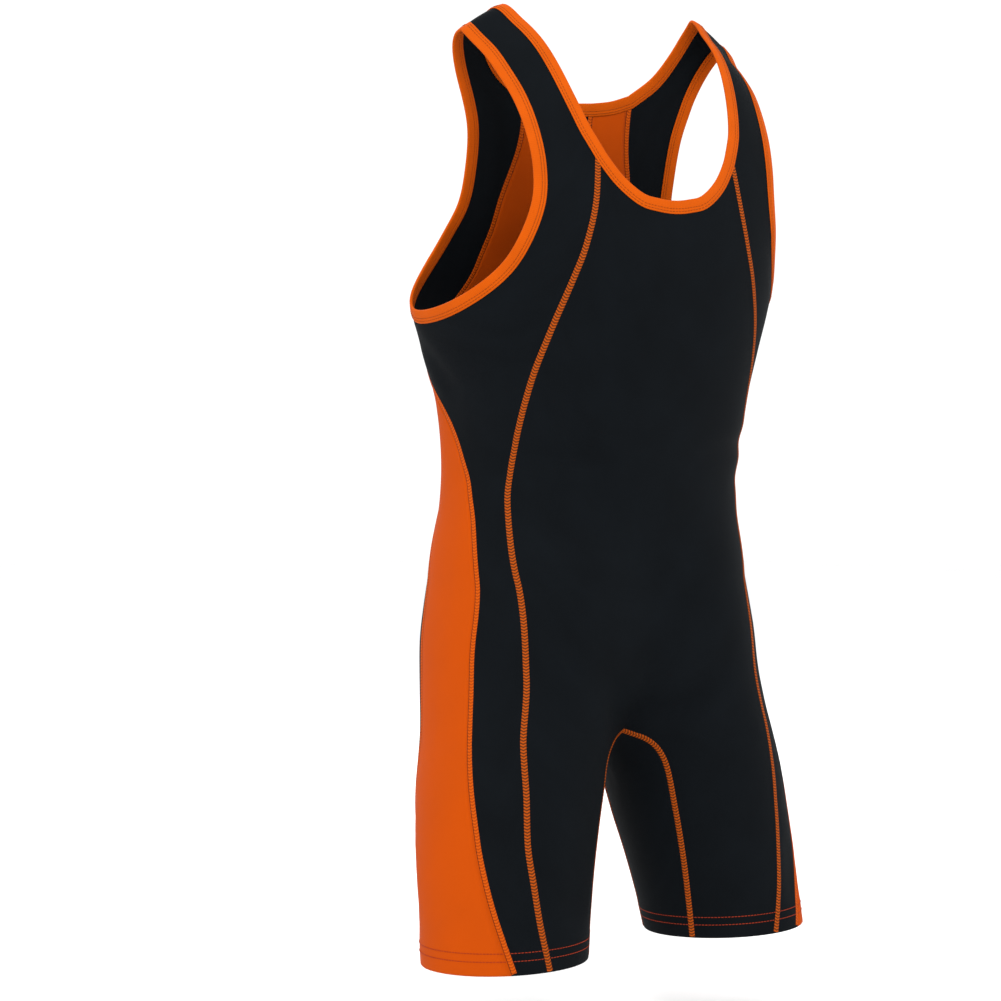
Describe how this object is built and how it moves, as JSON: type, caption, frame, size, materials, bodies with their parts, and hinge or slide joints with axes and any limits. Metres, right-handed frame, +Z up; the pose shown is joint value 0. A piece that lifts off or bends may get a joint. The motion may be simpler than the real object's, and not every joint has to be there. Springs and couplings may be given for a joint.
{
  "type": "wrestling singlet",
  "caption": "Sleeveless one-piece stretch-knit singlet with scooped neck, deep armholes, thigh-length legs, contrast bindings and curved flank stripes, in its worn hollow form.",
  "frame": {"origin": "midway between the two shoulder straps, at the height of their tops, where the wearer's shoulders hold the garment", "axes": "+Z up along the body, +Y from the chest towards the back, +X towards the wearer's left"},
  "size_m": [0.3974, 0.2299, 0.8612],
  "materials": {
    "black_knit": "matt black stretch knit",
    "orange_knit": "matt orange stretch knit",
    "orange_binding": "folded orange stretch binding"
  },
  "bodies": {
    "root": {"front_panel": "black_knit", "back_panel": "black_knit", "crotch_gusset": "black_knit", "side_panel_left": "black_knit", "side_panel_right": "black_knit", "flank_stripe_left": "orange_knit", "flank_stripe_right": "orange_knit", "neck_binding": "orange_binding", "armhole_binding_left": "orange_binding", "armhole_binding_right": "orange_binding"}
  },
  "joints": []
}
